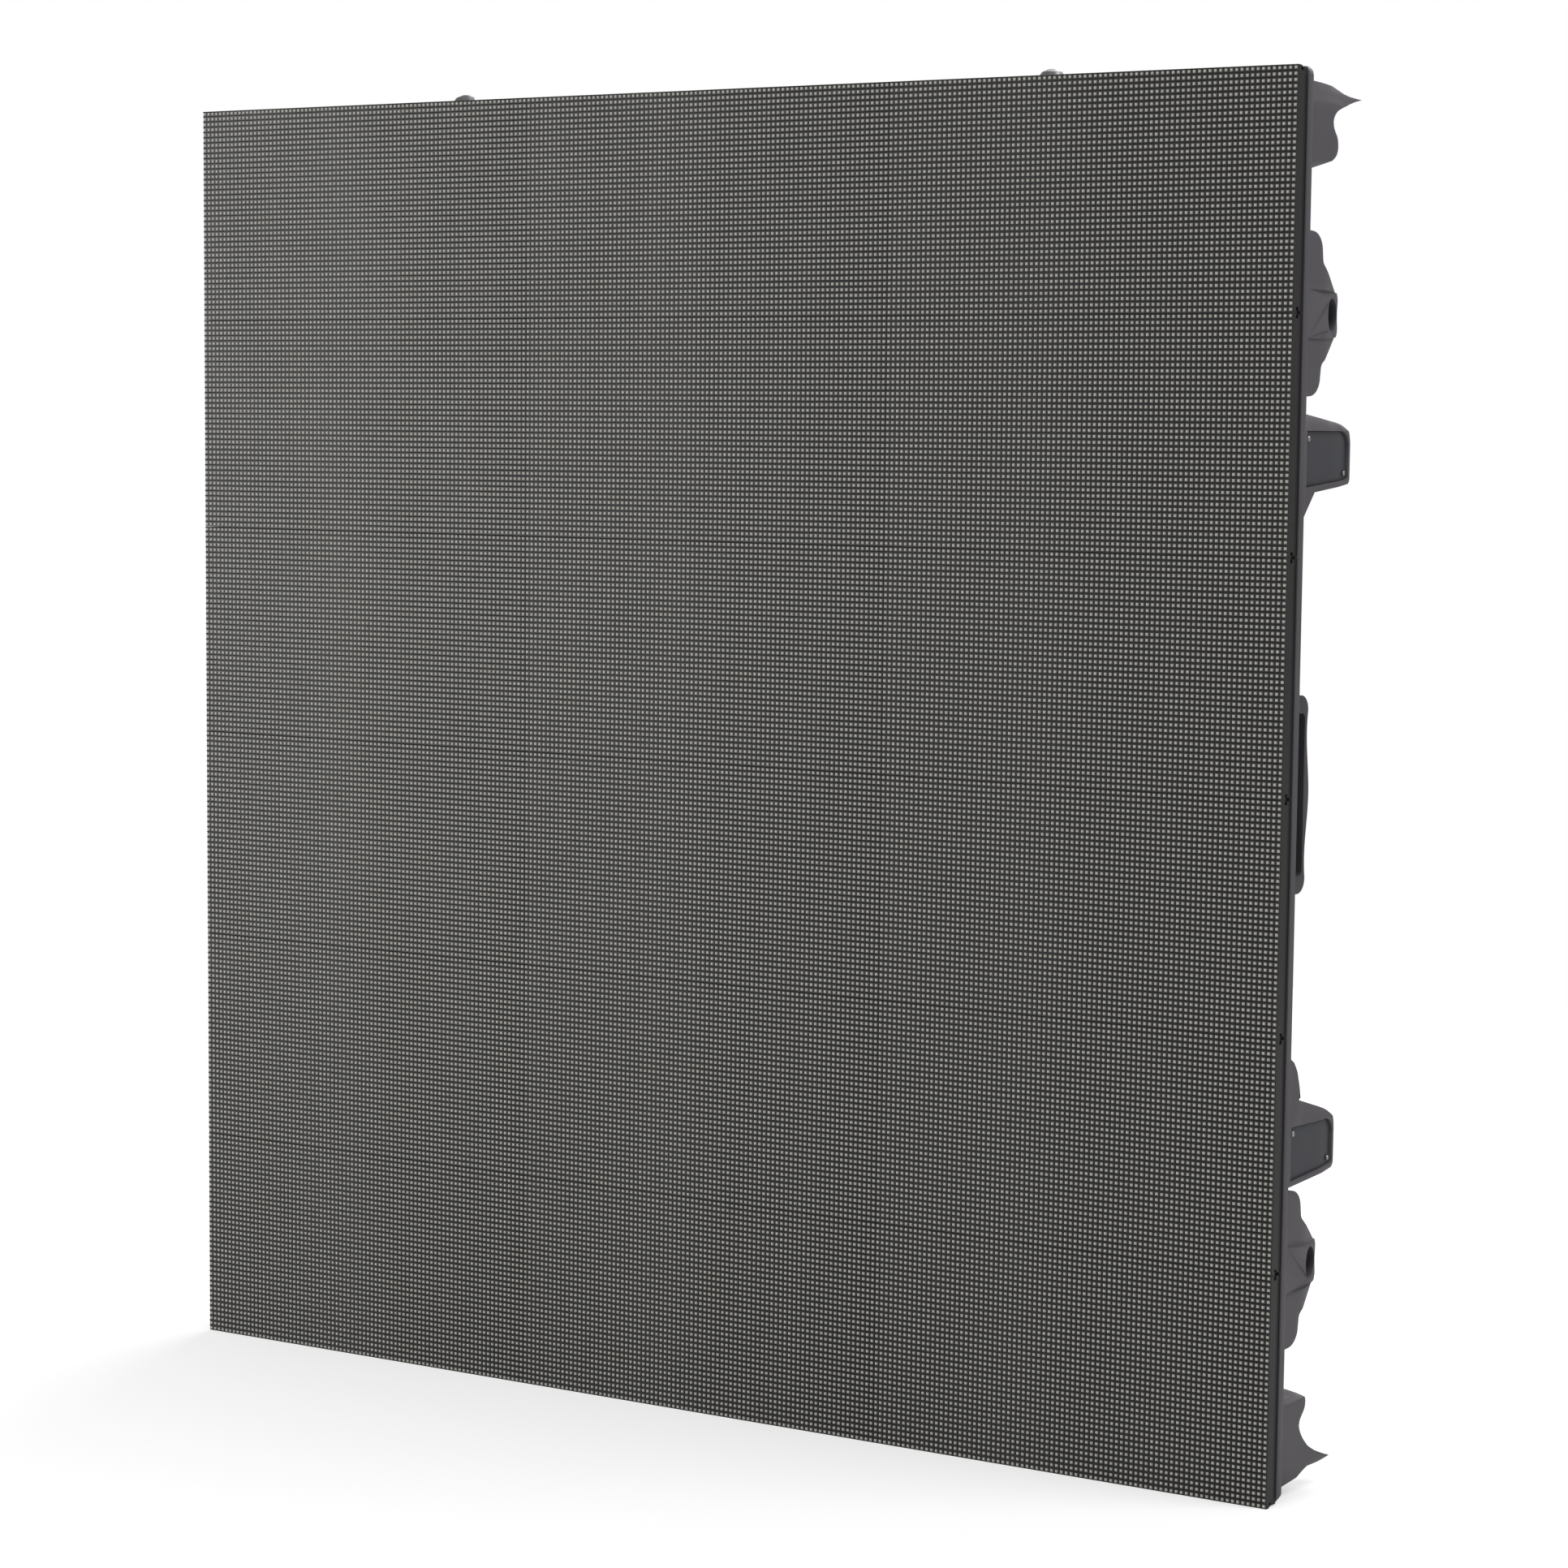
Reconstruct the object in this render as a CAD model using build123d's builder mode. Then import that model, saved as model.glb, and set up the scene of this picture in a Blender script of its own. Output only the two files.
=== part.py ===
from build123d import *
import os

# Square LED display cabinet for outdoor screens, 960 mm wide and high, lamps every 4 mm.
# A die-cast frame carries three columns by six rows of LED modules on its front and a
# power box on its back. Seen from the front, +X is right and +Z is up; the lit face looks
# towards -Y. The origin is the middle of the footprint, on the surface it stands on.
# A depth below is measured from the lit face backwards.

# Grid of modules
columns = 3
rows = 6
module_width = 320
module_height = 160
seam = 0.3

# Layers of a module
mask_plate_back = 2.6
mask_wall = 1.6
mask_depth = 8.8
notch_height = 3.5
notch_front = 4.4
board_thickness = 1.6
module_depth = 15
kit_inset = 1
kit_clearance = 0.3
kit_pocket_depth = 3
kit_pocket_width = 112
kit_pocket_height = 96
kit_web = 28

# Cast plate, beams and ribs of the frame
overall_depth = 96
plate_thickness = 6.5
window_width = 284
window_height = 124
window_chamfer = 10
edge_to_beam = 12
beam_wall = 5
beam_depth = 40
beam_corner_radius = 24
mullion_wall = 5
mullion_depth = 48
crossbar_wall = 4
crossbar_depth = 36
cast_wall = 4
face_recess = 1.2

# Connecting bosses: wavy foot, waist and flat head, with a hole for the connecting bolt
boss_from_end = 160
top_boss_x = 260
boss_foot = 55
boss_shoulder = 53
boss_shoulder_depth = 39
boss_waist = 32
boss_waist_depth = 41
boss_head = 13
boss_depth = 67
boss_shoulder_radius = 13
boss_waist_radius = 6
boss_head_radius = 8
boss_pad = 30.8
bolt_hole_radius = 11
bolt_hole_depth = 54.5
gusset_wall = 3
gusset_top_depth = 50
side_gusset_reach = 46
end_gusset_reach = 17

# Locating pins on the top edge and their sockets on the bottom edge
pin_depth = 53
pin_radius = 10
pin_straight = 3
pin_dome = 5.6
pin_dome_step = 3.6
pin_dome_step_radius = 7.4
pin_dome_flat = 2.5
pin_shank_radius = 7.8
pin_fit = 0.1
seat_radius = 15
seat_length = 15
socket_clearance = 0.4
socket_length = 11

# Corner ears: thin fin, notch and rounded lobe; a rise is measured from the nearest end
ear_width = 42
ear_pocket_rise = 16
ear_pocket_radius = 6
ear_floor = 4
fin_flat = 10
fin_inner_depth = 59
ear_zone = 100
top_heel = (module_depth, 7.5)
top_brow = (60, 10.5)
top_step = (68, 13.2)
top_tip = (overall_depth, 14)
top_root = (52, 22.5)
top_notch = (49.5, 33)
top_lobe = (57.5, 48)
top_lobe_corner = (57, 59)
top_foot = (37, 65)
top_base = (module_depth, 68.5)
top_bevel_rise = 60
bottom_heel = (module_depth, 5)
bottom_brow = (53, 7.6)
bottom_step = (66, 15.2)
bottom_tip = (overall_depth - 1, 16.8)
bottom_root = (50, 36)
bottom_notch = (48, 48)
bottom_lobe = (56, 61)
bottom_lobe_corner = (56, 72)
bottom_foot = (35, 80)
bottom_base = (module_depth, 86)
bottom_bevel_rise = 68
bevel_width = 18
chin_rise = 22
chin_width = 7

# Lock boxes on both sides, each closed by a sunk cover with two screws
box_from_end = 244.5
box_half = 23
box_flare = 6
box_flare_depth = 38
box_gusset = 22
box_depth = 87
box_width = 46
box_recess = 0.6
box_upper_radius = 16
box_lower_radius = 7
box_rim = 4.5
cover_sink = 4
cover_thickness = 2
cover_clearance = 0.3
cover_ledge = 6.5
cover_front = 24
cover_screw_inset = 5
cover_screw_head = 3.2
cover_screw_head_height = 1.4
cover_screw_shank = 1.5
cover_screw_length = 8

# Side handles, screwed to seats on the beam
handle_length = 134
handle_leg = 12
handle_bar = 7
handle_back = 59
handle_width = 14
handle_corner_radius = 10
handle_gap_radius = 4
handle_dip = 3.5
handle_screw_radius = 2.4
handle_screw_head = 3.8
handle_screw_head_height = 2.4
handle_screw_sink = 8
handle_screw_length = 24

# Power box on the back
tray_width = 344
tray_height = 440
tray_wall = 2.5
tray_back = 84
tray_radius = 12
gasket_thickness = 1
gasket_width = 6
door_thickness = 2.6
door_field_height = 1.2
door_field_inset = 26
lug_radius = 7
lug_inset = 12
door_screw_radius = 2
door_screw_head = 4
door_screw_head_height = 2
door_screw_length = 16
supply_width = 212
supply_height = 81
supply_depth = 28
supply_gap = 14
supply_terminal = 22
supply_terminal_depth = 16
card_width = 146
card_height = 92
card_thickness = 1.6
card_socket_width = 24
card_socket_height = 8
card_socket_pitch = 36
standoff_height = 8
standoff_radius = 3.5
power_plug_radius = 12
signal_plug_radius = 10
plug_flange = 3
plug_reach = 18
plug_tail = 9
plug_spacing = 62
plug_depth = 66

# Sides of small round things, which keep their faces few, and the play in screw holes
shank_sides = 6
head_sides = 12
lug_sides = 8
round_sides = 24
screw_hole_fit = 0.1

# How far a cutting shape runs past what it cuts
overshoot = 1

cabinet_width = columns * module_width - seam
cabinet_height = rows * module_height - seam
half_width = cabinet_width / 2
half_height = cabinet_height / 2
face_y = -overall_depth / 2
plate_back = module_depth + plate_thickness
mask_width = module_width - seam
mask_height = module_height - seam

os.makedirs("parts", exist_ok=True)


def plane_at_depth(depth):
    """Plane parallel to the lit face: local x is X, local y is Z, its normal looks forwards."""
    return Plane.XZ.offset(-(face_y + depth))


def side_plane(inset):
    """Plane parallel to the right side: local x is Z, local y is the depth, normal inwards."""
    return Plane(origin=(half_width - inset, face_y, 0), x_dir=(0, 0, 1), z_dir=(-1, 0, 0))


def right_edge(height):
    """Plane on the right side at one height: x along the side, y the depth, normal inwards."""
    return Plane(origin=(half_width, face_y, height), x_dir=(0, 0, 1), z_dir=(-1, 0, 0))


def bottom_edge(place):
    """The same kind of plane on the bottom edge, at one place along it."""
    return Plane(origin=(place, face_y, 0), x_dir=(1, 0, 0), z_dir=(0, 0, 1))


def top_edge(place):
    """The same kind of plane on the top edge."""
    return Plane(origin=(place, face_y, cabinet_height), x_dir=(-1, 0, 0), z_dir=(0, 0, -1))


def across(edge, along):
    """Plane square to an edge plane: x runs inwards, y is the depth."""
    origin = edge.from_local_coords(Vector(along, 0, 0))
    return Plane(origin=origin, x_dir=edge.z_dir, z_dir=-edge.x_dir)


def corners_at(sketch, depth):
    """Corners of a sketch that lie at one depth."""
    return sketch.vertices().filter_by_position(Axis.Y, depth - 0.01, depth + 0.01)


def module_centre(column, row):
    """Centre of a module, in X and Z; rows count from the top."""
    x = (column - (columns - 1) / 2) * module_width
    z = half_height + ((rows - 1) / 2 - row) * module_height
    return x, z


def boss_outline(edge, strip=2 * boss_foot):
    """Outline of a connecting boss on an edge plane, or its middle strip alone."""
    with BuildSketch(edge) as outline:
        with BuildLine():
            Polyline(
                (-boss_foot, module_depth), (-boss_shoulder, boss_shoulder_depth),
                (-boss_waist, boss_waist_depth), (-boss_head, boss_depth),
                (boss_head, boss_depth), (boss_waist, boss_waist_depth),
                (boss_shoulder, boss_shoulder_depth), (boss_foot, module_depth),
                close=True)
        make_face()
        fillet(corners_at(outline, boss_depth), boss_head_radius)
        fillet(corners_at(outline, boss_waist_depth), boss_waist_radius)
        fillet(corners_at(outline, boss_shoulder_depth), boss_shoulder_radius)
        with Locations((0, boss_depth / 2)):
            Rectangle(strip, 2 * boss_depth, mode=Mode.INTERSECT)
    return outline.sketch


def gusset_profile(plane, reach, top_depth):
    """Triangular web from a boss wall down to the plate."""
    with BuildSketch(plane) as web:
        with BuildLine():
            Polyline((face_recess, module_depth), (face_recess, top_depth),
                     (reach, plate_back + ear_floor), (reach, module_depth), close=True)
        make_face()
    return web.sketch


def ear_outline(end, towards, points):
    """Outline of a corner ear on the side plane, from its ten (depth, rise) points."""
    heel, brow, step, tip, root, notch, lobe, lobe_corner, foot, base = [
        (end + towards * rise, depth) for depth, rise in points]
    middle = (notch[0] + lobe[0]) / 2
    with BuildSketch(side_plane(face_recess)) as outline:
        with BuildLine():
            Polyline(base, heel, brow, step, tip)
            Bezier(tip, root, notch)
            Bezier(notch, (middle, notch[1]), (middle, lobe[1]), lobe)
            Bezier(lobe, lobe_corner, foot)
            Line(foot, base)
        make_face()
    return outline.sketch


def ear_pocket(end, towards, notch, foot):
    """Hollow of a corner ear, open towards the middle of the cabinet."""
    front = plate_back + ear_floor
    back = notch[0] - cast_wall
    top = foot[1] - 2 * cast_wall
    with BuildSketch(side_plane(face_recess + cast_wall)) as pocket:
        with Locations((end + towards * (ear_pocket_rise + top) / 2, (front + back) / 2)):
            RectangleRounded(top - ear_pocket_rise, back - front, ear_pocket_radius)
    return pocket.sketch


def bevel_profile(end, towards, rise, width, drop):
    """Wedge that slopes the outer edge of an ear, drawn square to the depth."""
    outer = half_width - face_recess
    with BuildSketch(plane_at_depth(overall_depth)) as wedge:
        with BuildLine():
            Polyline((outer + overshoot, end + towards * rise), (outer, end + towards * rise),
                     (outer - width, end + towards * (rise + drop)),
                     (outer + overshoot, end + towards * (rise + drop)), close=True)
        make_face()
    return wedge.sketch


def box_outline(centre, inwards):
    """Outline of a lock box on the side plane; inwards points to the cabinet's middle."""
    outer = centre - inwards * box_half
    inner = centre + inwards * box_half
    with BuildSketch(side_plane(box_recess)) as outline:
        with BuildLine():
            Polyline((outer, module_depth), (outer, box_depth), (inner, box_depth),
                     (inner + inwards * box_flare, box_flare_depth),
                     (inner + inwards * box_gusset, plate_back),
                     (inner + inwards * box_gusset, module_depth), close=True)
        make_face()
        fillet(corners_at(outline, box_depth).sort_by(Axis.X)[1], box_upper_radius)
        fillet(corners_at(outline, box_depth).sort_by(Axis.X)[0], box_lower_radius)
    return outline.sketch


def cover_outline(plane, centre, margin):
    """Outline of the cover's seat, or of what lies inside it by a margin."""
    half = box_half - box_rim - margin
    front = cover_front + margin
    back = box_depth - box_rim - margin
    with BuildSketch(plane) as outline:
        with BuildLine():
            Polyline((centre - half, front), (centre + half, front),
                     (centre + half, back), (centre - half, back), close=True)
        make_face()
        upper = max(box_upper_radius - box_rim - margin, box_lower_radius - box_rim)
        fillet(corners_at(outline, back).sort_by(Axis.X)[1], upper)
        fillet(corners_at(outline, back).sort_by(Axis.X)[0], box_lower_radius - box_rim)
    return outline.sketch


def cover_screw_places(centre):
    """Places of a cover's two screws: front top corner and back bottom corner."""
    reach = box_half - box_rim - cover_screw_inset
    return [(centre + reach, cover_front + cover_screw_inset),
            (centre - reach, box_depth - box_rim - cover_screw_inset)]


box_centres = [(cabinet_height - box_from_end, -1), (box_from_end, 1)]
side_boss_heights = [boss_from_end, cabinet_height - boss_from_end]
top_ear = (top_heel, top_brow, top_step, top_tip, top_root, top_notch, top_lobe,
           top_lobe_corner, top_foot, top_base)
bottom_ear = (bottom_heel, bottom_brow, bottom_step, bottom_tip, bottom_root, bottom_notch,
              bottom_lobe, bottom_lobe_corner, bottom_foot, bottom_base)
handle_middle = half_width - edge_to_beam - handle_width / 2
handle_seats = [(handle_middle, half_height + end * (handle_length - handle_leg) / 2)
                for end in (-1, 1)]
handle_head_depth = handle_back - handle_screw_sink
handle_thread_depth = handle_screw_length - (handle_head_depth - beam_depth) + overshoot
card_centre = half_height + tray_height / 2 - tray_wall - supply_gap - card_height / 2
first_supply = half_height - tray_height / 2 + tray_wall + plug_tail + supply_gap + supply_height / 2
tray_lugs = [(x * (tray_width / 2 - lug_inset), z * (tray_height / 2 - lug_inset))
             for x in (-1, 1) for z in (-1, 0, 1)]

# Window behind a module, with cut corners
with BuildSketch() as window:
    Rectangle(window_width, window_height)
    chamfer(window.vertices(), window_chamfer)

# Cast frame: everything is drawn on the right, cut at the middle and mirrored
with BuildPart() as cabinet_frame:
    # Front plate with one window behind each module
    with BuildSketch(plane_at_depth(plate_back)):
        with Locations((0, half_height)):
            Rectangle(cabinet_width, cabinet_height)
        with Locations(*[module_centre(c, r) for c in range(columns) for r in range(rows)]):
            add(window.sketch, mode=Mode.SUBTRACT)
    extrude(amount=plate_thickness)

    # Beam round the edge, mullions behind the column seams, crossbars behind the row seams
    with BuildSketch(plane_at_depth(beam_depth)):
        with Locations((0, half_height)):
            RectangleRounded(cabinet_width - 2 * edge_to_beam,
                             cabinet_height - 2 * edge_to_beam, beam_corner_radius)
            RectangleRounded(cabinet_width - 2 * (edge_to_beam + beam_wall),
                             cabinet_height - 2 * (edge_to_beam + beam_wall),
                             beam_corner_radius - beam_wall, mode=Mode.SUBTRACT)
    extrude(amount=beam_depth - module_depth)
    with BuildSketch(plane_at_depth(mullion_depth)):
        with Locations((0, half_height)):
            with GridLocations(module_width, 1, columns - 1, 1):
                Rectangle(mullion_wall, cabinet_height - 2 * edge_to_beam - beam_wall)
    extrude(amount=mullion_depth - module_depth)
    with BuildSketch(plane_at_depth(crossbar_depth)):
        with Locations((0, half_height)):
            with GridLocations(1, module_height, 1, rows - 1):
                Rectangle(cabinet_width - 2 * edge_to_beam - beam_wall, crossbar_wall)
    extrude(amount=crossbar_depth - module_depth)

    # Connecting bosses on the side, the top and the bottom
    for edge, reach in (
            [(right_edge(height), side_gusset_reach) for height in side_boss_heights]
            + [(make_edge(top_boss_x), end_gusset_reach) for make_edge in (bottom_edge, top_edge)]):
        extrude(boss_outline(edge.offset(face_recess)), amount=cast_wall)
        extrude(boss_outline(edge, boss_pad), amount=face_recess)
        for along in (-1, 1):
            web = across(edge, along * (boss_pad - gusset_wall) / 2)
            extrude(gusset_profile(web, reach, gusset_top_depth), amount=gusset_wall / 2, both=True)

    # Seats for the locating pins and sockets for the pins of the cabinet below
    for edge, hole, length in (
            (top_edge(top_boss_x), pin_shank_radius + pin_fit, seat_length),
            (bottom_edge(top_boss_x), pin_radius + socket_clearance, socket_length)):
        with BuildSketch(edge):
            with Locations((0, pin_depth)):
                RegularPolygon(seat_radius, round_sides)
        extrude(amount=seat_length)
        with BuildSketch(edge):
            with Locations((0, pin_depth)):
                Circle(hole)
        extrude(amount=length, mode=Mode.SUBTRACT)

    # Holes for the connecting bolts in the side bosses
    for height in side_boss_heights:
        with BuildSketch(right_edge(height)):
            with Locations((0, bolt_hole_depth)):
                Circle(bolt_hole_radius)
        extrude(amount=face_recess + cast_wall, mode=Mode.SUBTRACT)

    # Corner ears, hollow towards the inside, with the fin tapering inwards
    for end, towards, points, bevel_rise in (
            (cabinet_height, -1, top_ear, top_bevel_rise),
            (0, 1, bottom_ear, bottom_bevel_rise)):
        notch, foot, base = points[5], points[8], points[9]
        extrude(ear_outline(end, towards, points), amount=ear_width)
        extrude(ear_pocket(end, towards, notch, foot), amount=ear_width, mode=Mode.SUBTRACT)
        bevel = bevel_profile(end, towards, bevel_rise, bevel_width, base[1] - bevel_rise)
        extrude(bevel, amount=overall_depth - plate_back, mode=Mode.SUBTRACT)
        chin = bevel_profile(end, towards, chin_rise, chin_width, -chin_rise)
        extrude(chin, amount=overall_depth - plate_back, mode=Mode.SUBTRACT)
        with BuildSketch(Plane.XY.offset(end)):
            with BuildLine():
                Polyline((half_width - fin_flat, face_y + overall_depth + overshoot),
                         (half_width - fin_flat, face_y + overall_depth),
                         (half_width - ear_width - face_recess, face_y + fin_inner_depth),
                         (half_width - ear_width - face_recess,
                          face_y + overall_depth + overshoot),
                         close=True)
            make_face()
        extrude(amount=towards * ear_zone, mode=Mode.SUBTRACT)

    # Lock boxes with the seat for the cover and the hollow behind it
    for centre, inwards in box_centres:
        extrude(box_outline(centre, inwards), amount=box_width)
        seat_plane = side_plane(box_recess)
        extrude(cover_outline(seat_plane, centre, 0), amount=cover_sink, mode=Mode.SUBTRACT)
        extrude(cover_outline(seat_plane, centre, cover_ledge), amount=box_width - cast_wall,
                mode=Mode.SUBTRACT)
        with BuildSketch(side_plane(box_recess + cover_sink)):
            with Locations(*cover_screw_places(centre)):
                RegularPolygon(cover_screw_shank + screw_hole_fit, shank_sides)
        extrude(amount=cover_screw_length, mode=Mode.SUBTRACT)

    # Seats for the side handle on the beam, tapped for its screws
    with BuildSketch(plane_at_depth(beam_depth)):
        with Locations(*handle_seats):
            Rectangle(handle_width, handle_leg)
    extrude(amount=beam_depth - module_depth)
    with BuildSketch(plane_at_depth(beam_depth)):
        with Locations(*handle_seats):
            RegularPolygon(handle_screw_radius + screw_hole_fit, shank_sides)
    extrude(amount=handle_thread_depth, mode=Mode.SUBTRACT)

    split(bisect_by=Plane.YZ, keep=Keep.TOP)
    mirror(about=Plane.YZ)
cabinet_frame.part.label = "cabinet_frame"
export_step(cabinet_frame.part, "parts/cabinet_frame.step")

# LED modules: mask with notched corners, lamp board and plastic kit that closes the back
boards = []
for row in range(rows):
    for column in range(columns):
        x, z = module_centre(column, row)
        place = f"r{row + 1}_c{column + 1}"
        with BuildPart() as mask:
            with BuildSketch(plane_at_depth(mask_depth)):
                with Locations((x, z)):
                    Rectangle(mask_width, mask_height)
            extrude(amount=mask_depth)
            with BuildSketch(plane_at_depth(mask_depth)):
                with Locations((x, z)):
                    Rectangle(mask_width - 2 * mask_wall, mask_height - 2 * mask_wall)
            extrude(amount=mask_depth - mask_plate_back, mode=Mode.SUBTRACT)
            with BuildSketch(plane_at_depth(mask_depth)):
                with Locations((x, z)):
                    with GridLocations(mask_width - mask_wall, mask_height - notch_height, 2, 2):
                        Rectangle(mask_wall, notch_height)
            extrude(amount=mask_depth - notch_front, mode=Mode.SUBTRACT)
        mask.part.label = f"mask_{place}"
        export_step(mask.part, f"parts/mask_{place}.step")

        board_back = mask_plate_back + board_thickness
        inner_width = mask_width - 2 * (mask_wall + kit_clearance)
        inner_height = mask_height - 2 * (mask_wall + kit_clearance)
        with BuildPart() as board:
            with BuildSketch(plane_at_depth(board_back)):
                with Locations((x, z)):
                    Rectangle(inner_width, inner_height)
            extrude(amount=board_thickness)
        boards.append(board.part)

        with BuildPart() as kit:
            with BuildSketch(plane_at_depth(module_depth)):
                with Locations((x, z)):
                    Rectangle(mask_width - 2 * kit_inset, mask_height - 2 * kit_inset)
            extrude(amount=module_depth - mask_depth)
            with BuildSketch(plane_at_depth(mask_depth)):
                with Locations((x, z)):
                    Rectangle(inner_width, inner_height)
            extrude(amount=mask_depth - board_back)
            with BuildSketch(plane_at_depth(module_depth)):
                with Locations((x, z)):
                    with GridLocations(kit_pocket_width + kit_web, 1, 2, 1):
                        Rectangle(kit_pocket_width, kit_pocket_height)
            extrude(amount=kit_pocket_depth, mode=Mode.SUBTRACT)
        kit.part.label = f"kit_{place}"
        export_step(kit.part, f"parts/kit_{place}.step")
led_boards = Compound(children=boards)
led_boards.label = "led_boards"
export_step(led_boards, "parts/led_boards.step")

# Locating pins: domed heads that stand on the top bosses
for side, x in (("left", -top_boss_x), ("right", top_boss_x)):
    with BuildPart() as pin:
        axis_foot = (x, face_y + pin_depth, cabinet_height)
        with BuildSketch(Plane(origin=axis_foot, x_dir=(1, 0, 0), z_dir=(0, -1, 0))):
            with BuildLine():
                Polyline((0, pin_straight + pin_dome), (0, -seat_length),
                         (pin_shank_radius, -seat_length), (pin_shank_radius, 0),
                         (pin_radius, 0), (pin_radius, pin_straight),
                         (pin_dome_step_radius, pin_straight + pin_dome_step),
                         (pin_dome_flat, pin_straight + pin_dome), close=True)
            make_face()
        revolve(axis=Axis(axis_foot, (0, 0, 1)))
    pin.part.label = f"locating_pin_{side}"
    export_step(pin.part, f"parts/locating_pin_{side}.step")

# Covers of the lock boxes, sunk below the rim, and their screws
cover_screws = []
for level, (centre, inwards) in zip(("upper", "lower"), box_centres):
    cover_plane = side_plane(box_recess + cover_sink - cover_thickness)
    with BuildPart() as cover:
        extrude(cover_outline(cover_plane, centre, cover_clearance), amount=cover_thickness)
        with BuildSketch(cover_plane):
            with Locations(*cover_screw_places(centre)):
                RegularPolygon(cover_screw_shank + screw_hole_fit, shank_sides)
        extrude(amount=cover_thickness, mode=Mode.SUBTRACT)
    with BuildPart() as screw_pair:
        with BuildSketch(cover_plane):
            with Locations(*cover_screw_places(centre)):
                RegularPolygon(cover_screw_shank, shank_sides)
        extrude(amount=cover_screw_length)
        with BuildSketch(cover_plane):
            with Locations(*cover_screw_places(centre)):
                RegularPolygon(cover_screw_head, head_sides)
        extrude(amount=-cover_screw_head_height)
    cover_screws += screw_pair.solids() + mirror(screw_pair.part, about=Plane.YZ).solids()
    for side, shape in (("right", cover.part), ("left", mirror(cover.part, about=Plane.YZ))):
        shape.label = f"lock_cover_{level}_{side}"
        export_step(shape, f"parts/lock_cover_{level}_{side}.step")
lock_cover_screws = Compound(label="lock_cover_screws", children=cover_screws)
export_step(lock_cover_screws, "parts/lock_cover_screws.step")

# Side handles: a grip on two legs, its back waved for the fingers, and their screws
with BuildPart() as handle:
    with BuildSketch(side_plane(edge_to_beam)) as grip:
        low = half_height - handle_length / 2
        high = half_height + handle_length / 2
        quarter = handle_length / 4
        with BuildLine():
            Polyline((low, handle_back), (low, beam_depth), (high, beam_depth),
                     (high, handle_back))
            Spline((high, handle_back), (half_height + quarter, handle_back - handle_dip),
                   (half_height, handle_back), (half_height - quarter, handle_back - handle_dip),
                   (low, handle_back))
        make_face()
        fillet(corners_at(grip, handle_back), handle_corner_radius)
        gap = handle_back - handle_bar - beam_depth
        with Locations((half_height, beam_depth + gap / 2)):
            RectangleRounded(handle_length - 2 * handle_leg, gap, handle_gap_radius,
                             mode=Mode.SUBTRACT)
    extrude(amount=handle_width)
    with BuildSketch(plane_at_depth(handle_back)):
        with Locations(*handle_seats):
            RegularPolygon(handle_screw_head + screw_hole_fit, head_sides)
    extrude(amount=handle_screw_sink, mode=Mode.SUBTRACT)
    with BuildSketch(plane_at_depth(handle_back)):
        with Locations(*handle_seats):
            RegularPolygon(handle_screw_radius + screw_hole_fit, shank_sides)
    extrude(amount=handle_back - beam_depth, mode=Mode.SUBTRACT)
for side, shape in (("right", handle.part), ("left", mirror(handle.part, about=Plane.YZ))):
    shape.label = f"side_handle_{side}"
    export_step(shape, f"parts/side_handle_{side}.step")
with BuildPart() as handle_bolts:
    with BuildSketch(plane_at_depth(handle_head_depth)):
        with Locations(*handle_seats):
            RegularPolygon(handle_screw_radius, shank_sides)
    extrude(amount=handle_screw_length)
    with BuildSketch(plane_at_depth(handle_head_depth)):
        with Locations(*handle_seats):
            RegularPolygon(handle_screw_head, head_sides)
    extrude(amount=-handle_screw_head_height)
all_bolts = handle_bolts.solids() + mirror(handle_bolts.part, about=Plane.YZ).solids()
handle_screws = Compound(label="handle_screws", children=all_bolts)
export_step(handle_screws, "parts/handle_screws.step")

# Tray of the power box: stands on the mullions, with lugs for the door screws
tray_bottom = half_height - tray_height / 2
plugs = (("power_inlet", power_plug_radius), ("power_outlet", power_plug_radius),
         ("signal_inlet", signal_plug_radius), ("signal_outlet", signal_plug_radius))
plug_places = [((number - (len(plugs) - 1) / 2) * plug_spacing, face_y + plug_depth)
               for number in range(len(plugs))]
with BuildPart() as tray:
    with BuildSketch(plane_at_depth(tray_back)):
        with Locations((0, half_height)):
            RectangleRounded(tray_width, tray_height, tray_radius)
    extrude(amount=tray_back - mullion_depth)
    with BuildSketch(plane_at_depth(tray_back)):
        with Locations((0, half_height)):
            RectangleRounded(tray_width - 2 * tray_wall, tray_height - 2 * tray_wall,
                             tray_radius - tray_wall)
            with Locations(*tray_lugs):
                RegularPolygon(lug_radius, lug_sides, mode=Mode.SUBTRACT)
    extrude(amount=tray_back - mullion_depth - tray_wall, mode=Mode.SUBTRACT)
    with BuildSketch(plane_at_depth(tray_back)):
        with Locations((0, half_height)):
            with Locations(*tray_lugs):
                RegularPolygon(door_screw_radius + screw_hole_fit, shank_sides)
    extrude(amount=door_screw_length, mode=Mode.SUBTRACT)
    with BuildSketch(plane_at_depth(mullion_depth + tray_wall + standoff_height)):
        with Locations((0, card_centre)):
            with GridLocations(card_width - 4 * standoff_radius, card_height - 4 * standoff_radius,
                               2, 2):
                RegularPolygon(standoff_radius, shank_sides)
    extrude(amount=standoff_height)
    with BuildSketch(Plane.XY.offset(tray_bottom)):
        for (name, radius), place in zip(plugs, plug_places):
            with Locations(place):
                RegularPolygon(radius - plug_flange, head_sides)
    extrude(amount=tray_wall, mode=Mode.SUBTRACT)
tray.part.label = "power_box_tray"
export_step(tray.part, "parts/power_box_tray.step")

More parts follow.
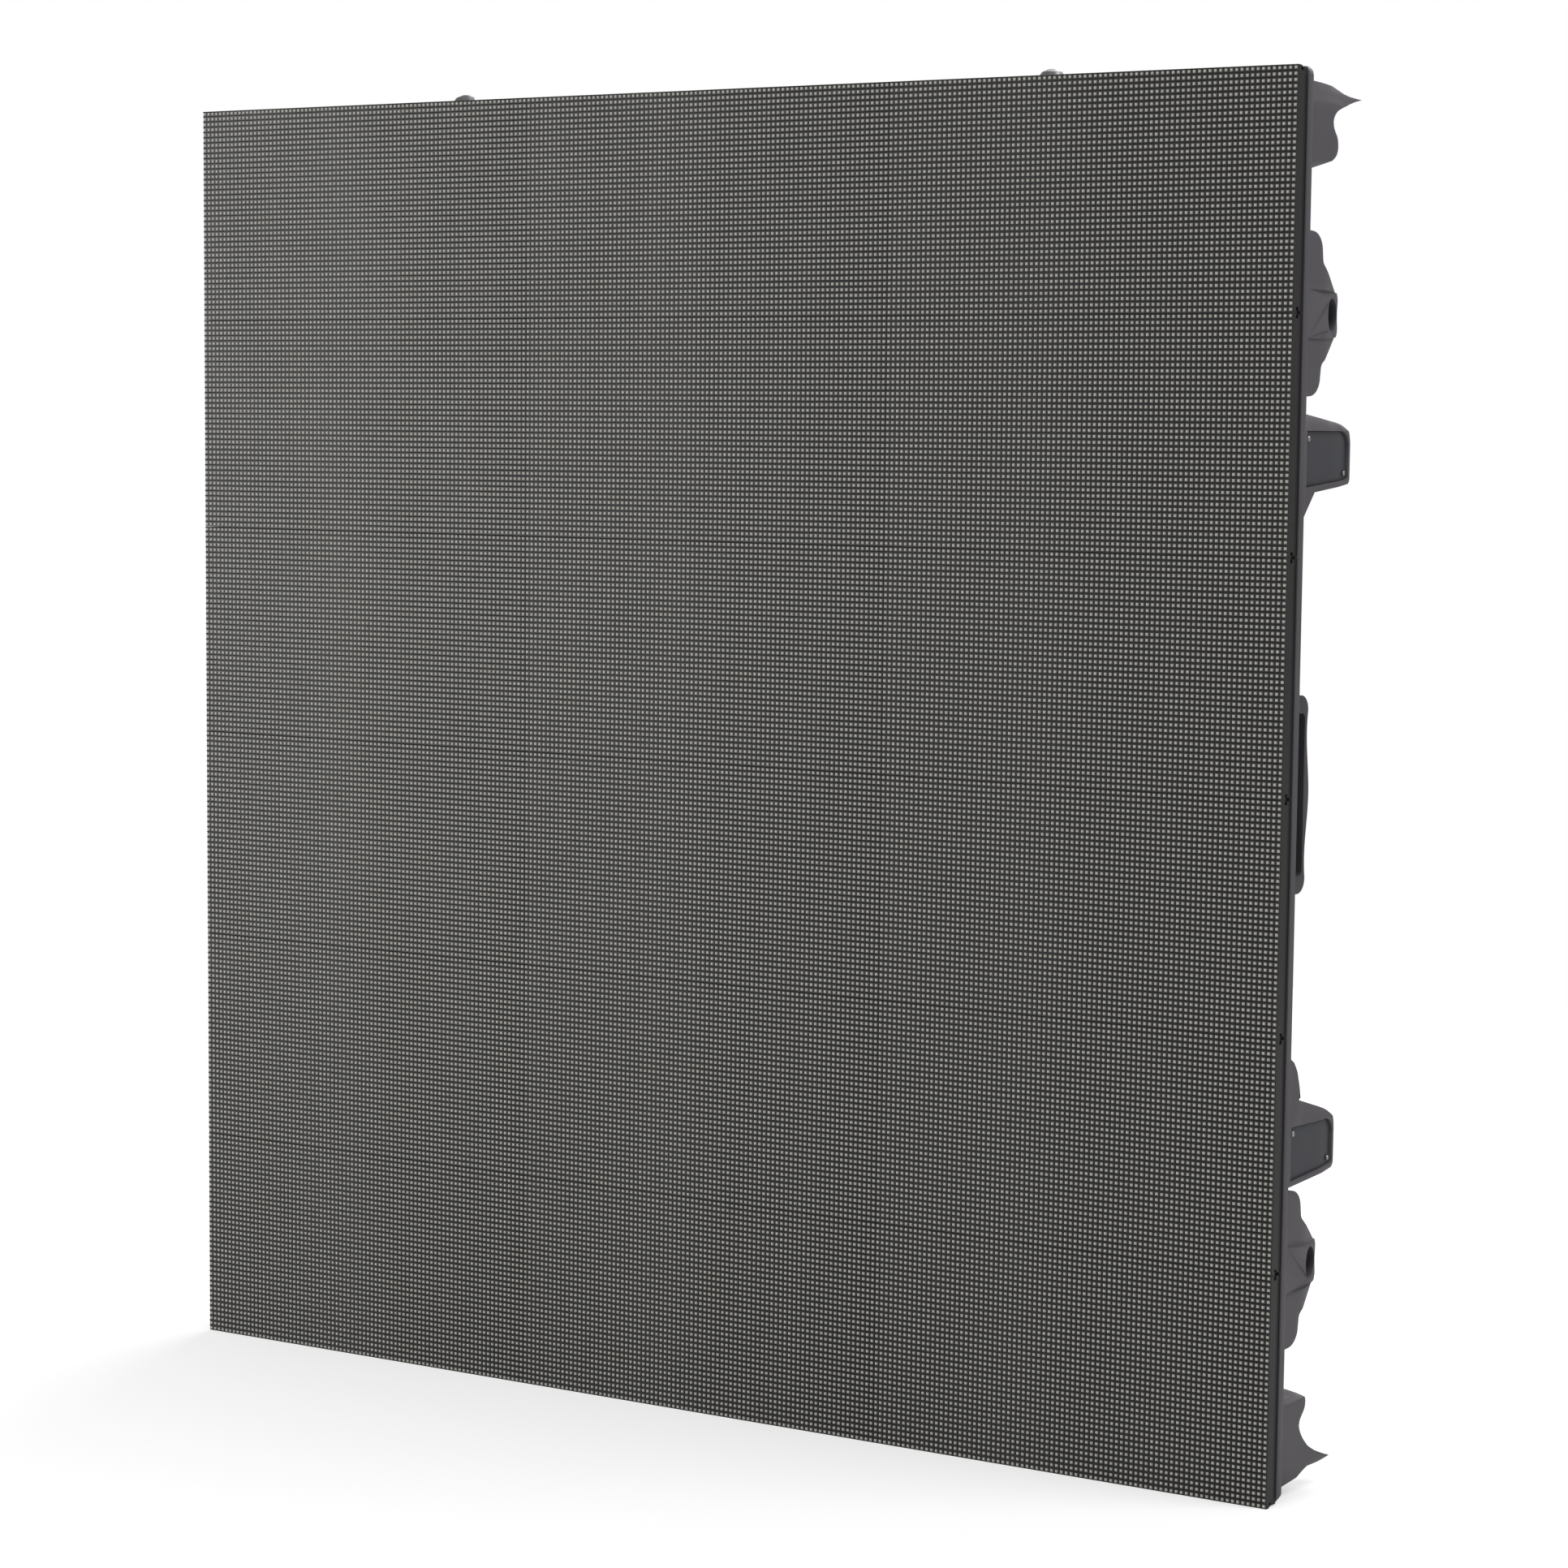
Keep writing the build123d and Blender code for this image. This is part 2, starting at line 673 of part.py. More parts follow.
# Gasket and door of the power box, and the door's screws
with BuildPart() as gasket:
    with BuildSketch(plane_at_depth(tray_back + gasket_thickness)):
        with Locations((0, half_height)):
            RectangleRounded(tray_width, tray_height, tray_radius)
            RectangleRounded(tray_width - 2 * gasket_width, tray_height - 2 * gasket_width,
                             tray_radius - gasket_width, mode=Mode.SUBTRACT)
            with Locations(*tray_lugs):
                RegularPolygon(lug_radius, lug_sides)
                RegularPolygon(door_screw_radius + screw_hole_fit, shank_sides,
                               mode=Mode.SUBTRACT)
    extrude(amount=gasket_thickness)
gasket.part.label = "door_gasket"
export_step(gasket.part, "parts/door_gasket.step")

door_back = tray_back + gasket_thickness + door_thickness
with BuildPart() as door:
    with BuildSketch(plane_at_depth(door_back)):
        with Locations((0, half_height)):
            RectangleRounded(tray_width, tray_height, tray_radius)
    extrude(amount=door_thickness)
    with BuildSketch(plane_at_depth(door_back + door_field_height)):
        with Locations((0, half_height)):
            RectangleRounded(tray_width - 2 * door_field_inset,
                             tray_height - 2 * door_field_inset, tray_radius)
    extrude(amount=door_field_height)
    with BuildSketch(plane_at_depth(door_back)):
        with Locations((0, half_height)):
            with Locations(*tray_lugs):
                RegularPolygon(door_screw_radius + screw_hole_fit, shank_sides)
    extrude(amount=door_thickness, mode=Mode.SUBTRACT)
door.part.label = "power_box_door"
export_step(door.part, "parts/power_box_door.step")

with BuildPart() as door_bolts:
    with BuildSketch(plane_at_depth(door_back)):
        with Locations((0, half_height)):
            with Locations(*tray_lugs):
                RegularPolygon(door_screw_radius, shank_sides)
    extrude(amount=door_screw_length)
    with BuildSketch(plane_at_depth(door_back)):
        with Locations((0, half_height)):
            with Locations(*tray_lugs):
                RegularPolygon(door_screw_head, head_sides)
    extrude(amount=-door_screw_head_height)
door_screws = Compound(label="door_screws", children=door_bolts.solids())
export_step(door_screws, "parts/door_screws.step")

# Power supplies: flat metal cases on the tray's floor, lower at the terminal end
tray_floor = mullion_depth + tray_wall
for number in range(3):
    supply_z = first_supply + number * (supply_height + supply_gap)
    with BuildPart() as supply:
        with BuildSketch(plane_at_depth(tray_floor + supply_depth)):
            with Locations((supply_terminal / 2, supply_z)):
                Rectangle(supply_width - supply_terminal, supply_height)
        extrude(amount=supply_depth)
        with BuildSketch(plane_at_depth(tray_floor + supply_terminal_depth)):
            with Locations((-(supply_width - supply_terminal) / 2, supply_z)):
                Rectangle(supply_terminal, supply_height)
        extrude(amount=supply_terminal_depth)
    supply.part.label = f"power_supply_{number + 1}"
    export_step(supply.part, f"parts/power_supply_{number + 1}.step")

# Receiving card on four standoffs, with a row of ribbon sockets along each long edge
with BuildPart() as card:
    card_front = tray_floor + standoff_height
    with BuildSketch(plane_at_depth(card_front + card_thickness)):
        with Locations((0, card_centre)):
            Rectangle(card_width, card_height)
    extrude(amount=card_thickness)
    with BuildSketch(plane_at_depth(card_front + card_thickness)):
        with Locations((0, card_centre)):
            with GridLocations(card_socket_pitch, card_height / 2, 3, 2):
                Rectangle(card_socket_width, card_socket_height)
    extrude(amount=-card_socket_height)
card.part.label = "receiving_card"
export_step(card.part, "parts/receiving_card.step")

# Panel sockets in the tray's lower wall: flange and neck outside, tail inside
for (name, radius), place in zip(plugs, plug_places):
    with BuildPart() as plug:
        with BuildSketch(Plane.XY.offset(tray_bottom)):
            with Locations(place):
                RegularPolygon(radius, round_sides)
        extrude(amount=-plug_flange)
        with BuildSketch(Plane.XY.offset(tray_bottom - plug_flange)):
            with Locations(place):
                RegularPolygon(radius - plug_flange / 2, round_sides)
        extrude(amount=-(plug_reach - plug_flange))
        with BuildSketch(Plane.XY.offset(tray_bottom - plug_reach)):
            with Locations(place):
                RegularPolygon(radius - plug_flange, round_sides)
        extrude(amount=plug_reach - 2 * plug_flange, mode=Mode.SUBTRACT)
        with BuildSketch(Plane.XY.offset(tray_bottom)):
            with Locations(place):
                RegularPolygon(radius - plug_flange - screw_hole_fit, head_sides)
        extrude(amount=plug_tail)
    plug.part.label = name
    export_step(plug.part, f"parts/{name}.step")
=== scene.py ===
import bmesh
import bpy
import numpy as np
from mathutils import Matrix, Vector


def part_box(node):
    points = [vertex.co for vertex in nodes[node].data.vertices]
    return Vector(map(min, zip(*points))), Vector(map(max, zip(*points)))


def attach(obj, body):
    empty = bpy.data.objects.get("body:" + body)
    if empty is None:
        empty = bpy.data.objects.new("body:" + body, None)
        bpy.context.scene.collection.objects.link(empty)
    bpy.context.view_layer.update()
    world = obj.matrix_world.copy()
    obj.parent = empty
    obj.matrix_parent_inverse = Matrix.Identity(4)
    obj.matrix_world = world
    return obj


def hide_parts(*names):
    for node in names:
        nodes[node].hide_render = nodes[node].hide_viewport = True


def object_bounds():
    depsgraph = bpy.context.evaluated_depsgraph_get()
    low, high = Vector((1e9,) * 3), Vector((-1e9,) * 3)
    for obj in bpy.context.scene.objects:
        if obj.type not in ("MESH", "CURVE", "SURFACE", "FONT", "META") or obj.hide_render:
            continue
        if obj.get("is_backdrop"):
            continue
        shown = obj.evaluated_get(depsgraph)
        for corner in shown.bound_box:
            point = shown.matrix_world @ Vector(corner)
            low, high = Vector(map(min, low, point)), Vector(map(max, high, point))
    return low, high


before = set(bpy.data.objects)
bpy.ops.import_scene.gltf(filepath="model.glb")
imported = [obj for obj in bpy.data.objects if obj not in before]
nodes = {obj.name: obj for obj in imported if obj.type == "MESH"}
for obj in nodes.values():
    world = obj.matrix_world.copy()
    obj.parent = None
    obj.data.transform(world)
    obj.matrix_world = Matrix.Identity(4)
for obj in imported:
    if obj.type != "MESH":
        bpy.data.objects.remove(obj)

cad_low, cad_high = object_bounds()


# The cast frame: one die casting of aluminium that carries everything else, with corner ears,
# bosses with bolt holes, lock boxes and a lattice of ribs. It is powder coated in a dark grey
# with a touch of purple, satin, with a fine orange peel and softened edges.

class Tone:
    """A shader socket that can be added, subtracted, multiplied or compared like a number."""

    def __init__(self, finish, socket):
        self.finish, self.socket = finish, socket

    def join(self, operation, first, second):
        """Math node between two tones or numbers."""
        return self.finish.node("Math", {"operation": operation}, {0: first, 1: second})

    def __add__(self, other):
        return self.join("ADD", self, other)

    def __radd__(self, other):
        return self.join("ADD", other, self)

    def __sub__(self, other):
        return self.join("SUBTRACT", self, other)

    def __rsub__(self, other):
        return self.join("SUBTRACT", other, self)

    def __mul__(self, other):
        return self.join("MULTIPLY", self, other)

    def __rmul__(self, other):
        return self.join("MULTIPLY", other, self)

    def __lt__(self, other):
        return self.join("LESS_THAN", self, other)


class Finish:
    """A node material: fixed values sit on the shader, and node() adds any other node."""

    def __init__(self, name, **fixed):
        self.material = bpy.data.materials.new(name)
        self.material.use_nodes = True
        self.tree = self.material.node_tree
        self.shader = self.tree.nodes["Principled BSDF"]
        self.set(**fixed)

    def feed(self, socket, value):
        """Links a tone to a socket, or sets the socket's own value."""
        if isinstance(value, Tone):
            self.tree.links.new(value.socket, socket)
        else:
            socket.default_value = value

    def set(self, **sockets):
        """Feeds the shader's own sockets."""
        for key, value in sockets.items():
            self.feed(self.shader.inputs[key.replace("_", " ")], value)
        return self

    def node(self, kind, settings=None, inputs=None, output=0):
        """Any node: its settings first, then its sockets' values or links; gives one output."""
        node = self.tree.nodes.new("ShaderNode" + kind)
        for key, value in (settings or {}).items():
            if key == "stops":
                ramp = node.color_ramp
                while len(ramp.elements) < len(value):
                    ramp.elements.new(0.5)
                for element, (place, tone) in zip(ramp.elements, value):
                    element.position = place
                    element.color = (tone, tone, tone, 1)
            else:
                setattr(node, key, value)
        for key, value in (inputs or {}).items():
            self.feed(node.inputs[key], value)
        return Tone(self, node.outputs[output])

    def noise(self, scale, detail=3, roughness=0.5):
        """Soft random tone from 0 to 1 over Object coordinates, which are the row frame's
        metres, so that scale counts its cells in a metre."""
        return self.node("TexNoise", None, {"Vector": self.node("TexCoord", output="Object"),
                                            "Scale": scale, "Detail": detail,
                                            "Roughness": roughness})

    def ramp(self, tone, stops):
        """Tone carried through a curve of stops."""
        return self.node("ValToRGB", {"stops": stops}, {0: tone})

    def blend(self, share, first, second):
        """Colour between two colours by a share."""
        return self.node("Mix", {"data_type": "RGBA"}, {0: share, 6: first, 7: second}, output=2)

    def bump(self, height, depth, strength):
        """Normal bent by a height; depth is the height's size in metres."""
        return self.node("Bump", None, {"Height": height, "Distance": depth,
                                        "Strength": strength})


def colour(red, green, blue):
    """Linear colour from 8-bit display numbers, by the display's power curve."""
    scaled = np.array([red, green, blue]) / 255
    linear = np.where(scaled < 0.04045, scaled / 12.92, ((scaled + 0.055) / 1.055) ** 2.4)
    return (*linear.tolist(), 1.0)


def powder_coat(name, tone, pale):
    """Satin powder coat: cloudy tone, orange peel of 1 mm cells, and paler edges, partly rubbed
    wear and partly a painted highlight, found where the normal softened over an edge's width
    turns away from the true one."""
    edge_width, peel_depth = 0.0012, 0.00012
    coat = Finish(name, Specular_IOR_Level=0.45)
    cloud = coat.ramp(coat.noise(9, detail=4), [(0.35, 0), (0.68, 1)])
    stain = coat.ramp(coat.noise(26, detail=5, roughness=0.6), [(0.42, 0), (0.66, 1)])
    peel = coat.noise(900, detail=2, roughness=0.6)
    soft = coat.node("Bevel", {"samples": 4}, {"Radius": edge_width})
    true = coat.node("NewGeometry", output="Normal")
    bend = coat.node("VectorMath", {"operation": "DOT_PRODUCT"}, {0: soft, 1: true},
                     output="Value")
    edge = coat.ramp(1 - bend, [(0.02, 0), (0.12, 1)])
    # Paler edges: partly rubbed wear, partly a painted highlight along each edge.
    worn_and_highlit_edge = edge * coat.ramp(coat.noise(60, detail=4), [(0.45, 0), (0.7, 1)])
    clouded = [0.88 * v for v in tone[:3]] + [1]
    stained = [tone[0] * 1.12, tone[1] * 0.98, tone[2] * 0.94, 1]
    base = coat.blend(cloud, tone, clouded)
    base = coat.blend(0.3 * stain, base, stained)
    base = coat.blend(0.06 * peel, base, pale)
    return coat.set(Base_Color=coat.blend(0.35 * worn_and_highlit_edge, base, pale),
                    Roughness=0.46 + 0.1 * cloud - 0.12 * worn_and_highlit_edge,
                    Normal=coat.bump(peel, peel_depth, strength=0.5))


# What stands on each side, from the photograph, in millimetres: heights above the ground and
# depths behind the lit face, now on the plain casting and as they are on the real one, how far
# a feature reaches inwards, the bend of its wall (from a depth, to a depth, by so much) and the
# slope over a lock box's cover (from a height, over a rise, by so much, from a depth).
face_y = cad_low[1]
side, top, plate_back = cad_high[0] * 1000, 959.7, 21.5
boss_now = [(-54.8, 21.5), (-53, 39), (-32, 41), (-13, 67), (13, 67), (32, 41), (53, 39),
            (54.8, 21.5), (0, 43.5), (-11, 54.5), (11, 54.5), (0, 65.5)]
boss_real = [(-54.8, 21.5), (-53, 40.5), (-33, 43), (-12, 75), (12, 75), (33, 43), (53, 40.5),
             (54.8, 21.5), (0, 49.5), (-11, 60.5), (11, 60.5), (0, 71.5)]
boss_heights, boss_bend = (160, top - 160), (48, 75, 7)
high_ear_now = [(7.9, 21.5), (10.5, 60), (13.2, 68), (14, 96), (18.4, 76.6), (23, 62.4),
                (27.9, 53.3), (33, 49.5), (48, 57.5), (57.8, 52.1), (65, 37), (67.7, 21.5)]
high_ear_real = [(7.9, 21.5), (10.3, 56), (14.5, 70), (17, 96), (21, 76.6), (24.7, 63),
                 (29, 55), (34, 52.5), (48, 59.5), (57, 56), (66, 34), (69.3, 21.5)]
low_ear_now = [(5.4, 21.5), (7.6, 53), (15.2, 66), (16.8, 95), (26, 75.2), (34.2, 60.8),
               (41.6, 51.7), (48, 48), (61, 56), (71.3, 50.8), (80, 35), (84.1, 21.5)]
low_ear_real = [(6.9, 21.5), (11, 53), (17.6, 63.5), (19.6, 94), (25.6, 75.2), (33, 59.5),
                (41.5, 50.5), (48.8, 46.7), (63, 54.8), (70, 51.5), (77.5, 33), (82.3, 21.5)]
box_depths = ((21.5, 24, 38, 82.5, 87), (21.5, 25, 37, 88, 91))
box_bend = (70, 91, 3)
high_box = [(((21.5, 670.2), (38, 686.2), (87, 692.2)), ((21.5, 665), (37, 682.5), (91, 688))),
            (((21.5, 696.7),), ((25, 685.5), (88, 691))),
            (((21.5, 733.7),), ((21.5, 723),)),
            (((21.5, 738.2),), ((21.5, 735.6), (91, 725.5)))]
low_box = [(((21.5, 221.5),), ((21.5, 216.6), (91, 222.5))),
           (((21.5, 226),), ((25, 220), (88, 225.5))),
           (((21.5, 263),), ((21.5, 257.5),)),
           (((21.5, 289.5), (38, 273.5), (87, 267.5)),
            ((21.5, 304.5), (28, 301), (34, 291), (37, 276), (91, 260)))]
side_features = [
    {"from": 0, "to": 100, "reach": 50, "now": low_ear_now, "real": low_ear_real},
    {"from": top - 90, "to": top, "reach": 50,
     "now": [(top - z, d) for z, d in high_ear_now],
     "real": [(top - z, d) for z, d in high_ear_real]},
    {"from": 216, "to": 310, "reach": 50, "lines": low_box, "cuts": [263],
     "bend": box_bend, "slope": (257.5, 24, 11, 38)},
    {"from": 664, "to": 742, "reach": 50, "lines": high_box, "cuts": [733.7],
     "bend": box_bend, "slope": (723, 14, 7, 22)}]
side_features += [
    {"from": middle - 56, "to": middle + 56, "reach": 11.9,
     "now": [(middle + z, d) for z, d in boss_now],
     "real": [(middle + z, d) for z, d in boss_real], "bend": boss_bend}
    for middle in boss_heights]


def pulled(points, now, real):
    """How far points of a plane move when the places in now are carried to those in real: a
    plane plus, from every place, its weight times r squared times log of r squared."""
    def swell(first, second):
        gap = ((first[:, None] - second[None]) ** 2).sum(-1)
        return gap * np.log(np.maximum(gap, 1e-9))

    now, real = np.array(now, float), np.array(real, float)
    flat = np.hstack([np.ones((len(now), 1)), now])
    system = np.block([[swell(now, now), flat], [flat.T, np.zeros((3, 3))]])
    weights = np.linalg.solve(system, np.vstack([real - now, np.zeros((3, 2))]))
    return np.hstack([swell(points, now), np.ones((len(points), 1)), points]) @ weights


def between_lines(flat, lines):
    """How far points of a lock box move: their depth goes by a table, and their height keeps
    its share of the way between the box's long lines, which run from one course to another."""
    depth = np.interp(flat[:, 1], *box_depths)
    now = np.stack([np.interp(flat[:, 1], *np.array(line).T) for line, _ in lines], -1)
    real = np.stack([np.interp(depth, *np.array(line).T) for _, line in lines], -1)
    height = flat[:, 0]
    moved = height + np.where(height < now[:, 0], (real - now)[:, 0], (real - now)[:, -1])
    for k in range(len(lines) - 1):
        inside = (height >= now[:, k] - 1e-6) & (height <= now[:, k + 1] + 1e-6)
        share = (height - now[:, k]) / (now[:, k + 1] - now[:, k])
        moved = np.where(inside, real[:, k] + share * (real[:, k + 1] - real[:, k]), moved)
    return np.stack([moved - height, depth - flat[:, 1]], -1)


def slice_side(shape, feature):
    """Cuts a feature's faces into a net of small cells, so that they can follow its bend: level
    cuts at every cell of height and upright cuts at every cell of depth."""
    cell, first_depth, last_depth = 6, 24, 96
    levels = [*np.arange(feature["from"] + cell / 2, feature["to"], cell),
              *feature.get("cuts", [])]
    cuts = [((0, 0, z / 1000), (0, 0, 1)) for z in levels]
    cuts += [((0, (face_y * 1000 + d) / 1000, 0), (0, 1, 0))
             for d in np.arange(first_depth, last_depth, cell)]
    for place, normal in cuts:
        faces = [f for f in shape.faces
                 if feature["from"] < f.calc_center_median().z * 1000 < feature["to"]
                 and abs(f.calc_center_median().x) * 1000 > side - feature["reach"]
                 and f.calc_center_median().y > face_y + plate_back / 1000 + 1e-5]
        edges = {e for f in faces for e in f.edges}
        corners = {v for f in faces for v in f.verts}
        bmesh.ops.bisect_plane(shape, geom=list(corners) + list(edges) + faces, dist=1e-6,
                               plane_co=place, plane_no=normal)


def mesh_points(mesh):
    """A mesh's points, one row each, in metres."""
    points = np.empty(len(mesh.vertices) * 3, np.float32)
    mesh.vertices.foreach_get("co", points)
    return points.reshape(-1, 3)


def follow_photo(mesh):
    """Moves a copy's points to the real outlines, feature by feature: the pull in height and
    depth, then the wall's bend and the slope above a lock box's cover, which go inwards. Each
    is a depth times a share that climbs from 0 to 1 over a way."""
    plate_rim, wall, skin, way = 16, 9, 1.5, 4
    spots = mesh_points(mesh).astype(float) * 1000
    spots[:, 1] -= face_y * 1000
    inset = side - np.abs(spots[:, 0])
    behind = ((spots[:, 1] > plate_back - 0.05)
              & ((spots[:, 1] > plate_back + 0.1) | (inset < plate_rim)))
    for feature in side_features:
        own = (behind & (inset < feature["reach"])
               & (spots[:, 2] > feature["from"]) & (spots[:, 2] < feature["to"]))
        if not own.any():
            continue
        flat = spots[own][:, [2, 1]]
        if "lines" in feature:
            shift = between_lines(flat, feature["lines"])
        else:
            shift = pulled(flat, feature["now"], feature["real"])
            shift[:, 1] *= np.clip((flat[:, 1] - plate_back) / way, 0, 1)
        flat = flat + shift
        sink = np.zeros(len(flat))
        if "bend" in feature:
            start, back, depth = feature["bend"]
            climb = np.clip((flat[:, 1] - start) / (back - start), 0, 1)
            sink += depth * climb * (inset[own] < wall)
        if "slope" in feature:
            height, rise, depth, front = feature["slope"]
            lean = np.clip((flat[:, 0] - height) / rise, 0, 1) * (inset[own] < skin)
            sink += depth * lean * np.clip((flat[:, 1] - front) / way, 0, 1)
        places = np.flatnonzero(own)
        spots[places, 2], spots[places, 1] = flat[:, 0], flat[:, 1]
        spots[places, 0] = np.sign(spots[places, 0]) * (side - inset[own] - sink)
    spots[:, 1] += face_y * 1000
    mesh.vertices.foreach_set("co", (spots / 1000).astype(np.float32).ravel())
    mesh.update()


def round_corners(shape):
    """Rounds the frame's four outer corners, seen from the front, to a radius of 6 mm."""
    corners = [e for e in shape.edges
               if all(abs(v.co.x) * 1000 > side - 0.01 for v in e.verts)
               and (max(v.co.z for v in e.verts) < 1e-5
                    or min(v.co.z for v in e.verts) * 1000 > top - 0.01)]
    bmesh.ops.bevel(shape, geom=corners, offset=0.006, segments=4, profile=0.5, affect="EDGES")


def new_piece(name, mesh):
    """A mesh as a piece of the scene, which rides on the cabinet's one body."""
    piece = bpy.data.objects.new(name, mesh)
    bpy.context.scene.collection.objects.link(piece)
    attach(piece, "root")
    return piece


def solid_copy(name, node, *, edge, segments=2, follow=False):
    """A CAD node's own shape as a new piece, its doubled points merged and its sharp edges
    rounded to the width given; flat faces keep their flat shading."""
    weld, flat_angle, sharp_angle = 1e-6, 0.02, 0.6
    mesh = nodes[node].data.copy()
    mesh.materials.clear()
    shape = bmesh.new()
    shape.from_mesh(mesh)
    bmesh.ops.remove_doubles(shape, verts=shape.verts, dist=weld)
    bmesh.ops.dissolve_limit(shape, angle_limit=flat_angle, verts=shape.verts,
                             edges=shape.edges)
    if follow:
        for feature in side_features:
            slice_side(shape, feature)
        round_corners(shape)
    shape.to_mesh(mesh)
    shape.free()
    if follow:
        follow_photo(mesh)
    mesh.shade_smooth()
    piece = new_piece(name, mesh)
    if edge:
        bevel = piece.modifiers.new("edge", "BEVEL")
        bevel.width, bevel.segments = edge, segments
        bevel.limit_method, bevel.angle_limit = "ANGLE", sharp_angle
        bevel.use_clamp_overlap = True
        bevel.harden_normals = True
    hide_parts(node)
    return piece


def dress(piece, *finishes, slot=None):
    """Gives a piece its finishes in place of those that it came with; its slot argument is not
    used. Faces that already choose among several finishes keep their choice."""
    if len(piece.data.materials):
        piece.data.materials.clear()
    for finish in finishes:
        piece.data.materials.append(finish.material)
    return piece


frame_coat = powder_coat("frame_coat", colour(86, 83, 88), colour(132, 129, 134))
casting = solid_copy("frame_casting", "cabinet_frame", edge=0.0005, follow=True)
dress(casting, frame_coat, slot="cast_frame")


# Housings of the connecting bolts: blind round pockets cast behind the holes of the side bosses,
# so that a hole shows dark. Each is a turned cup of (radius, inset) steps in millimetres whose
# mouth follows the bend of the boss's wall, and it is coated with the frame.

def turned_shell(profile, sides):
    """Points and quads of a profile of (radius, inset) pairs turned round a sideways axis: at
    an angle a, a point is (inset, radius times cos a, radius times sin a)."""
    turn = np.arange(sides) * 2 * np.pi / sides
    radius, inset = np.array(profile, float).T
    points = np.stack([np.repeat(inset, sides), np.outer(radius, np.cos(turn)).ravel(),
                       np.outer(radius, np.sin(turn)).ravel()], -1)
    first, second = np.arange(len(profile) - 1)[:, None] * sides, np.arange(sides)
    after = (second + 1) % sides
    quads = np.stack([first + second, first + after, first + sides + after,
                      first + sides + second], -1)
    return points, quads.reshape(-1, 4)


bolt_depth, housing_sides = 60.5, 32
housing_profile = [(15.5, 6), (11, 4.8), (11, 9), (12.5, 9), (12.5, 25), (0.01, 25), (0.01, 28),
                   (15.5, 28), (15.5, 6)]
shell_points, shell_quads = turned_shell(housing_profile, housing_sides)
start, back, depth = boss_bend
reach = bolt_depth + shell_points[:, 1]
bent = shell_points[:, 0] + depth * np.clip((reach - start) / (back - start), 0, 1)
housing_points, housing_quads = [], []
for hand in (-1, 1):
    for middle in boss_heights:
        spots = np.stack([hand * (side - bent), reach + face_y * 1000,
                          middle + shell_points[:, 2]], -1) / 1000
        housing_quads.append((shell_quads if hand < 0 else shell_quads[:, ::-1])
                             + len(shell_points) * len(housing_points))
        housing_points.append(spots)
housing_mesh = bpy.data.meshes.new("bolt_housings")
housing_mesh.from_pydata(np.concatenate(housing_points).tolist(), [],
                         np.concatenate(housing_quads).tolist())
housing_mesh.update()
dress(new_piece("bolt_housings", housing_mesh), frame_coat, slot="cast_frame")


# The locating pins: steel heads turned to a dome and pressed into the frame's top bosses. They
# enter the sockets of the cabinet above, and show fine marks of the lathe.

def bare_metal(name, light, dark, *, scale, detail, roughness, spread):
    """Bare or plated metal: its tone goes from light to dark, and its roughness grows by a
    spread, over one soft noise."""
    metal = Finish(name, Metallic=1.0)
    drift = metal.noise(scale, detail)
    return metal.set(Base_Color=metal.blend(drift, light, dark),
                     Roughness=roughness + spread * drift)


turned_steel = bare_metal("turned_steel", colour(160, 160, 162), colour(120, 120, 124),
                          scale=700, detail=2, roughness=0.3, spread=0.15)
for hand in ("left", "right"):
    dress(nodes[f"locating_pin_{hand}"], turned_steel)


# The kits: black moulded backs of the modules, one to each mask, screwed to the frame. Their
# black is deeper than the masks' grey and shows as a band along the cabinet's edge.
module_rows, module_columns = 6, 3
modules = [f"r{row + 1}_c{column + 1}" for row in range(module_rows)
           for column in range(module_columns)]
grain_depth = 0.00008
kit_plastic = Finish("kit_plastic", Specular_IOR_Level=0.5)
flow = kit_plastic.noise(20)
grain = kit_plastic.noise(1100, detail=2)
kit_plastic.set(Base_Color=kit_plastic.blend(flow, colour(17, 17, 19), colour(11, 11, 13)),
                Roughness=0.42 + 0.15 * flow,
                Normal=kit_plastic.bump(grain, grain_depth, strength=0.4))
for module in modules:
    dress(nodes[f"kit_{module}"], kit_plastic)


# The lamp boards: printed circuit boards between the kits and the masks, glass fibre with
# copper tracks under a green resist. They carry the lamps in front and the headers behind.
board_resist = Finish("board_resist", Roughness=0.45)
copper = board_resist.ramp(board_resist.noise(160, detail=2), [(0.5, 0), (0.53, 1)])
board_resist.set(Base_Color=board_resist.blend(copper, colour(18, 42, 30), colour(26, 62, 42)))
dress(nodes["led_boards"], board_resist)


# The masks: matt black-grey plastic covers of the modules, screwed on from behind. Each has a
# thin louvre above every row of lamps, and the lamps, pale square packages soldered to the
# board, stand in its windows 4 mm apart.
lamp_pitch = 0.004
lamp_columns, lamp_rows = 80, 40
lamp_count = lamp_columns * lamp_rows
field_depth = 0.0009
foot_y, lamp_front_y = face_y + field_depth + 0.0001, face_y + 0.0003
lamp_half, lamp_front_half = 0.00106, 0.00092
louvre_root, louvre_tip, louvre_under = 0.00055, 0.00012, 0.6

mask_plastic = Finish("mask_plastic", Specular_IOR_Level=0.5)
mottle = mask_plastic.noise(14, detail=4)
grain = mask_plastic.noise(1400, detail=2, roughness=0.6)
mask_plastic.set(Base_Color=mask_plastic.blend(mottle, colour(32, 31, 30), colour(26, 25, 25)),
                 Roughness=0.41 + 0.1 * mottle,
                 Normal=mask_plastic.bump(grain, grain_depth, strength=0.4))

# A lamp's epoxy: a paler round cup in its body, with three small chips one above the other.
# Each lamp is a little darker or paler than the next, as lamps of different bins are.
lamp_epoxy = Finish("lamp_epoxy", Roughness=0.38, Specular_IOR_Level=0.5)
across = lamp_epoxy.node("UVMap", {"uv_map": "lamp"})
tint = lamp_epoxy.node("Attribute", {"attribute_name": "bin"}, output="Fac")


